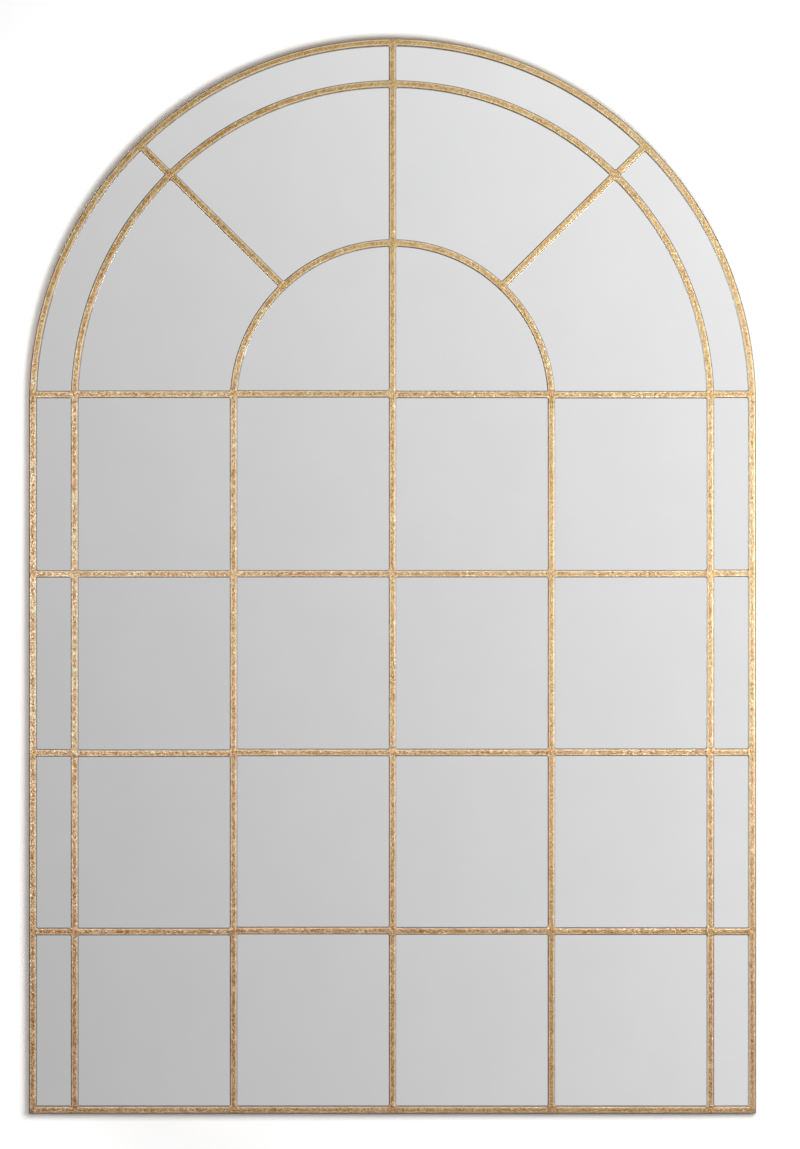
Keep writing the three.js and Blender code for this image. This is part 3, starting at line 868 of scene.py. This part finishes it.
def weld_bead(name, start, end, radius):
    """A rippled stitch of weld between two points."""
    start, end = Vector(start), Vector(end)
    length = (end - start).length
    along = (end - start) / length
    side = along.cross(Vector((0, 1, 0)))
    count = round(length / (0.3 * MM))
    seed = chance.random() * 40
    sides = 14
    points = []
    for i in range(count + 1):
        t = length * i / count
        ending = max(0, 1 - min(t, length - t) / (1.6 * radius))
        lump = noise.noise(Vector((seed, t / (2.2 * MM), 0)))
        swell = 0.94 + 0.09 * math.sin(2 * math.pi * t / (1.5 * MM)) + 0.14 * lump
        r = radius * max(0.12, math.sqrt(max(0, 1 - ending**2))) * swell
        wander = 0.22 * MM * noise.noise(Vector((seed + 9, t / (5 * MM), 0)))
        middle = start + along * t + side * wander
        for k in range(sides):
            turn = 2 * math.pi * k / sides
            points.append(middle + side * (r * math.cos(turn)) + Vector((0, r * math.sin(turn), 0)))
    mesh = mesh_of(name, points, tube_faces(count + 1, sides))
    finish_piece(new_object(name, mesh, weld_steel), "mirror", "zinc_steel")


def tab_places():
    """Each tab's point on the rim's inner side and its direction inwards, as the frame has them."""
    low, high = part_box("retaining_tab_1")
    stile_z = (low.z + high.z) / 2
    low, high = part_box("retaining_tab_4")
    rail_x = (low.x + high.x) / 2
    reach = math.sqrt((RIM_INNER_X * math.cos(math.pi / 144)) ** 2 - (9 * MM) ** 2)
    arch_x, arch_z = reach * math.sqrt(0.5), ARCH_Z + reach * math.sqrt(0.5)
    return [(-RIM_INNER_X, stile_z, 0), (RIM_INNER_X, stile_z, 180),
            (-rail_x, BAR_WIDTH, 90), (rail_x, BAR_WIDTH, 90),
            (-arch_x, arch_z, -45), (arch_x, arch_z, -135)]


def turned(loop, x, z, degrees):
    """A loop of points turned about the origin and moved to x, z."""
    c, s = math.cos(math.radians(degrees)), math.sin(math.radians(degrees))
    return [(x + u * c - v * s, z + u * s + v * c) for u, v in loop]


def make_tabs():
    """Round-ended tabs that hold the board, each welded to the rim and screwed at its round end."""
    half, hole_at, gap, half_weld = 9 * MM, 17 * MM, 0.3 * MM, 7.2 * MM
    outline = [(gap, -half)] + arc((hole_at, 0), half, -90, 90, 28) + [(gap, half)]
    hole = arc((hole_at, 0), HOLE_RADIUS, 0, 360, 32)[:-1]
    for i, place in enumerate(tab_places(), 1):
        low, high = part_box(f"retaining_tab_{i}")
        thickness = high.y - low.y
        tab = plate(f"tab_{i}", turned(outline, *place), thickness, low.y, zinc, 0.3 * MM,
                    [turned(hole, *place)])
        eased(tab.data)
        finish_piece(tab, "mirror", "zinc_steel", f"retaining_tab_{i}")
        head_x, head_z = turned([(hole_at, 0)], *place)[0]
        screw(f"tab_screw_{i}", head_x, high.y, head_z, thickness + BED)
        (ax, az), (bx, bz) = turned([(gap, -half_weld), (gap, half_weld)], *place)
        weld_bead(f"tab_weld_{i}", (ax, high.y - 0.3 * MM, az), (bx, high.y - 0.3 * MM, bz), 1.25 * MM)


def strap_loop(name):
    """Outer radius of a strap's loop and its centre in Y and Z, which the ring swings about."""
    low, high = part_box(f"hanger_strap_{name}")
    radius = (high.y - low.y) / 2
    return radius, low.y + radius, high.z - radius


def make_hanger_plate(name, side):
    """The plate, welded to the stile, with a board screw in each of its round inner corners."""
    low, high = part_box(f"hanger_plate_{name}")
    thickness = high.y - low.y
    middle, centre_z = (low.x + high.x) / 2, (low.z + high.z) / 2
    half_x, half_z = (high.x - low.x) / 2, (high.z - low.z) / 2
    pivot_z = strap_loop(name)[2]
    corner, inset = 6 * MM, 8 * MM
    shape = [(half_x, -half_z), (half_x, half_z)]
    shape += arc((corner - half_x, half_z - corner), corner, 90, 180, 10)
    shape += arc((corner - half_x, corner - half_z), corner, 180, 270, 10)
    board_holes = [(inset - half_x, half_z - inset), (inset - half_x, inset - half_z)]
    strap_holes = [(0, pivot_z - centre_z - drop) for drop in STRAP_SCREW_DROPS]

    def placed(loop):
        return [(middle + side * u, centre_z + v) for u, v in loop]

    holes = [placed(arc(h, HOLE_RADIUS, 0, 360, 32)[:-1]) for h in board_holes + strap_holes]
    backing = plate(f"plate_{name}", placed(shape), thickness, low.y, zinc, 0.35 * MM, holes)
    eased(backing.data)
    finish_piece(backing, "mirror", "zinc_steel", f"hanger_plate_{name}")
    for i, (x, z) in enumerate(placed(board_holes), 1):
        screw(f"plate_screw_{name}_{i}", x, high.y, z, thickness + BED)
    weld_x, weld_y = middle + side * (half_x - 0.1 * MM), high.y - 0.2 * MM
    for i, (begin, finish) in enumerate(((-33, -12), (12, 33)), 1):
        weld_bead(f"plate_weld_{name}_{i}", (weld_x, weld_y, centre_z + begin * MM),
                  (weld_x, weld_y, centre_z + finish * MM), 1.35 * MM)


def rolled_loop(name, middle, half):
    """The strap's upper end, rolled round the ring's straight side."""
    loop_radius, pivot_y, pivot_z = strap_loop(name)
    middle_radius = loop_radius - STRAP_THICKNESS / 2
    ease = 0.2 * MM
    path = [(-0.6 * MM, -middle_radius)] + arc((0, 0), middle_radius, -90, 200, 60)
    section = [(-0.5, half - ease), (-0.33, half), (0.33, half), (0.5, half - ease),
               (0.5, ease - half), (0.33, -half), (-0.33, -half), (-0.5, ease - half)]
    points = []
    for i, (up, out) in enumerate(path):
        radial = Vector((0, -1)) if i == 0 else Vector((up, out)).normalized()
        for depth, x in section:
            points.append((middle + x, pivot_y + out + radial.y * depth * STRAP_THICKNESS,
                           pivot_z + up + radial.x * depth * STRAP_THICKNESS))
    return mesh_of(f"roll_{name}", points, tube_faces(len(path), len(section)))


def make_strap(name):
    """A flat tongue with a round foot, rolled over into a loop at its top."""
    low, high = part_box(f"hanger_strap_{name}")
    middle, half = (low.x + high.x) / 2, (high.x - low.x) / 2
    pivot_z = strap_loop(name)[2]
    tongue = arc((middle, low.z + half), half, 180, 360, 32)
    tongue += [(middle + half, pivot_z), (middle - half, pivot_z)]
    screws = [(middle, pivot_z - drop) for drop in STRAP_SCREW_DROPS]
    holes = [arc(h, HOLE_RADIUS, 0, 360, 32)[:-1] for h in screws]
    strap = plate(f"strap_{name}", tongue, STRAP_THICKNESS, low.y, zinc, 0.2 * MM, holes)
    roll = rolled_loop(name, middle, half)
    bm = bmesh.new()
    bm.from_mesh(strap.data)
    bm.from_mesh(roll)
    bm.to_mesh(strap.data)
    bm.free()
    bpy.data.meshes.remove(roll)
    eased(strap.data)
    finish_piece(strap, "mirror", "zinc_steel", f"hanger_strap_{name}")
    for i, (x, z) in enumerate(screws, 1):
        screw(f"strap_screw_{name}_{i}", x, low.y + STRAP_THICKNESS, z, STRAP_THICKNESS + BED)


def make_ring(name):
    """A D-ring bent from round wire, its closed joint hidden in the strap's loop."""
    low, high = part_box(f"hanger_ring_{name}")
    wire = (high.y - low.y) / 2
    half = (high.x - low.x) / 2 - wire
    middle, pivot_y, pivot_z = (low.x + high.x) / 2, (low.y + high.y) / 2, high.z - wire
    bow_z = low.z + wire + half - pivot_z
    bend = 1.9 * MM
    path = [(x, 0) for x in np.linspace(bend - half, half - bend, 9)]
    path += arc((half - bend, -bend), bend, 90, 0, 8)[1:]
    path += arc((0, bow_z), half, 0, -180, 56)
    path += arc((bend - half, -bend), bend, 180, 90, 8)[:-1]
    sides = 16
    points = []
    for i, (x, z) in enumerate(path):
        before, after = Vector(path[i - 1]), Vector(path[(i + 1) % len(path)])
        ahead = (after - before).normalized()
        for k in range(sides):
            turn = 2 * math.pi * k / sides
            side = wire * math.cos(turn)
            points.append((middle + x + ahead.y * side, pivot_y + wire * math.sin(turn),
                           pivot_z + z - ahead.x * side))
    mesh = mesh_of(f"ring_{name}", points, tube_faces(len(path), sides, closed_path=True))
    finish_piece(new_object(f"ring_{name}", mesh, zinc), f"{name}_ring", "zinc_steel",
                 f"hanger_ring_{name}")


def make_bumpers():
    for i in range(1, 5):
        low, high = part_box(f"bumper_{i}")
        foot, tip = (high.x - low.x) / 2, (high.x - low.x) / 2 - 1 * MM
        back = high.y
        profile = [(0, low.y), (foot - 0.15 * MM, low.y), (foot, low.y + 0.25 * MM)]
        profile += [(tip + (foot - tip) * f, back - 0.8 * MM - (back - low.y - 1.2 * MM) * f)
                    for f in (0.75, 0.5, 0.25)]
        profile += [(tip - 0.8 * MM + u, back - 0.8 * MM + v)
                    for u, v in arc((0, 0), 0.8 * MM, 0, 90, 6)]
        profile += [(1.6 * MM, back), (1.1 * MM, back - 0.25 * MM), (0, back - 0.4 * MM)]
        bumper = revolved(f"bumper_{i}_moulded", profile, 40, black_rubber)
        bumper.data.transform(Matrix.Translation(((low.x + high.x) / 2, 0, (low.z + high.z) / 2)))
        finish_piece(bumper, "mirror", "rubber", f"bumper_{i}")


make_tabs()
for hanger_name, hanger_side in (("left", -1), ("right", 1)):
    make_hanger_plate(hanger_name, hanger_side)
    make_strap(hanger_name)
    make_ring(hanger_name)
make_bumpers()

# ---------- Light, wall, floor and camera ----------

CAMERA_DISTANCE = 6.8  # to the frame's front, read off the inner sides that the photograph shows
VIEW_HEIGHT = 1.9269  # what the photograph's height spans at the frame's front
VIEW_CENTRE_X, VIEW_CENTRE_Z = 0.0126, 0.9043
WALL_Y = cad_high.y + 0.5 * MM
WALL_WIDTH, WALL_HEIGHT = 24, 8
FLOOR_Z = -0.28
WALL_CENTRE_Z = FLOOR_Z + WALL_HEIGHT / 2
POOL_X, POOL_Z = 0.02, 0.62  # middle of the wall's brightly lit part
POOL_HALF_WIDTH, POOL_HALF_HEIGHT = 0.85, 1.15


def make_world():
    """A soft studio: grey that is lighter to the upper right where the glass mirrors it, and
    darker further out."""
    world = bpy.data.worlds.new("studio")
    bpy.context.scene.world = world
    s = Shader(world)
    direction = s.node("ShaderNodeTexCoord").outputs["Generated"]
    x, _, z = s.node("ShaderNodeSeparateXYZ", {0: direction}).outputs
    lean = s.math("ADD", s.math("MULTIPLY", x, 2.42), s.math("MULTIPLY", z, 1.02))
    bounded = s.math("MULTIPLY", s.math("TANH", s.math("DIVIDE", lean, 0.8)), 0.8)
    strength = s.math("MULTIPLY", s.math("EXPONENT", bounded), 0.70)
    aside = s.math("ADD", s.math("MULTIPLY", x, x), s.math("MULTIPLY", z, z))
    apart = s.band(s.math("ABSOLUTE", x), 0.15, 0.30)
    beside = s.band(x, -0.5, 0.5, 0.42, 0.60)
    strength = s.node("ShaderNodeMix", {0: apart, 2: strength, 3: beside}).outputs[0]
    strength = s.math("MULTIPLY", strength, s.band(aside, 0.10, 0.40, 1.0, 0.28))
    glow = s.node("ShaderNodeBackground", {"Color": (1.0, 0.995, 0.985, 1), "Strength": strength})
    s.node("ShaderNodeOutputWorld", {"Surface": glow.outputs[0]})


def softbox(name, position, target, width, height, power, shines=("diffuse", "glossy")):
    """A rectangular soft light. shines names the kinds of reflection that it takes part in."""
    light = bpy.data.lights.new(name, "AREA")
    light.shape = "RECTANGLE"
    light.size, light.size_y = width, height
    light.energy = power
    lamp = bpy.data.objects.new(name, light)
    lamp.location = position
    lamp.rotation_euler = (Vector(target) - Vector(position)).to_track_quat("-Z", "Y").to_euler()
    bpy.context.scene.collection.objects.link(lamp)
    lamp.visible_camera = False
    lamp.visible_diffuse = "diffuse" in shines
    lamp.visible_glossy = "glossy" in shines


def make_lights():
    # Two lights in front of the middle throw the soft shadow round the frame, longest on the left.
    softbox("wall_light_left", (-0.03, -2.05, 0.85), (-0.03, 0, 0.85), 1.1, 1.1, 24, ("diffuse",))
    softbox("wall_light_right", (0.64, -2.05, 0.85), (0.64, 0, 0.85), 1.1, 1.1, 44, ("diffuse",))
    # The leaf's shine, brightest half way up and on the right
    softbox("right_front", (1.35, -4.2, 0.95), (0.3, 0, 0.95), 0.5, 0.7, 10.5, ("glossy",))
    softbox("left_front", (-1.35, -4.2, 0.95), (-0.3, 0, 0.95), 0.5, 0.7, 6, ("glossy",))
    softbox("right_side", (1.55, -1.25, 0.9), (0.3, 0, 0.9), 0.8, 0.9, 8, ("glossy",))
    softbox("left_side", (-1.55, -1.25, 0.9), (-0.3, 0, 0.9), 0.8, 0.9, 2.2, ("glossy",))
    softbox("back_light", (-1.6, 3.2, 2.4), (0, 0, 0.9), 1.6, 1.6, 120)


def stage_plane(name, width, height, place, material):
    mesh = bpy.data.meshes.new(name)
    corners = [(-width / 2, -height / 2, 0), (width / 2, -height / 2, 0),
               (width / 2, height / 2, 0), (-width / 2, height / 2, 0)]
    mesh.from_pydata(corners, [], [(0, 1, 2, 3)])
    mesh.materials.append(material)
    made = bpy.data.objects.new(name, mesh)
    made.matrix_world = place
    bpy.context.scene.collection.objects.link(made)
    return made


def make_stage():
    """A pale floor, and a white wall that shows only from the front."""
    pale, s, place = new_material("pale_floor")
    cloud = s.noise(place, 0.8, 3.0, 0.5)
    s.surface({"Base Color": s.mix(cloud, grey(0.74), grey(0.78)), "Roughness": 0.7})
    floor = stage_plane("floor", 40, 40, Matrix.Translation((0, 0, FLOOR_Z)), pale)
    floor.visible_glossy = False
    floor.visible_diffuse = False

    plaster, s, place = new_material("white_wall")
    behind = s.node("ShaderNodeNewGeometry").outputs["Backfacing"]
    # The lights fall off towards the corners, and the wall's paint is paler there to make up for it.
    across, up, _ = s.node("ShaderNodeSeparateXYZ", {0: place}).outputs
    across = s.math("DIVIDE", s.math("SUBTRACT", across, POOL_X), POOL_HALF_WIDTH)
    up = s.math("DIVIDE", s.math("ADD", up, WALL_CENTRE_Z - POOL_Z), POOL_HALF_HEIGHT)
    outside = s.math("ADD", s.math("MULTIPLY", across, across), s.math("MULTIPLY", up, up))
    paint = s.mix(s.band(outside, 0.5, 0.85), grey(0.83), grey(0.985))
    white = s.node("ShaderNodeBsdfDiffuse", {"Color": paint})
    clear = s.node("ShaderNodeBsdfTransparent")
    shown = s.node("ShaderNodeMixShader", {0: behind, 1: white.outputs[0], 2: clear.outputs[0]})
    s.node("ShaderNodeOutputMaterial", {"Surface": shown.outputs[0]})
    stood_up = Matrix.Translation((0, WALL_Y, WALL_CENTRE_Z)) @ Matrix.Rotation(math.pi / 2, 4, "X")
    wall = stage_plane("wall", WALL_WIDTH, WALL_HEIGHT, stood_up, plaster)
    for rays in ("diffuse", "glossy", "transmission", "shadow"):
        setattr(wall, "visible_" + rays, False)


def make_camera():
    camera = bpy.data.cameras.new("camera")
    camera.sensor_width = 36
    camera.lens = 36 * CAMERA_DISTANCE / VIEW_HEIGHT
    camera.clip_end = 200
    eye = bpy.data.objects.new("camera", camera)
    eye.location = (VIEW_CENTRE_X, FRONT_Y - CAMERA_DISTANCE, VIEW_CENTRE_Z)
    eye.rotation_euler = (math.pi / 2, 0, 0)
    bpy.context.scene.collection.objects.link(eye)
    bpy.context.scene.camera = eye


make_world()
make_lights()
make_stage()
make_camera()
bpy.context.scene.view_settings.view_transform = "Standard"
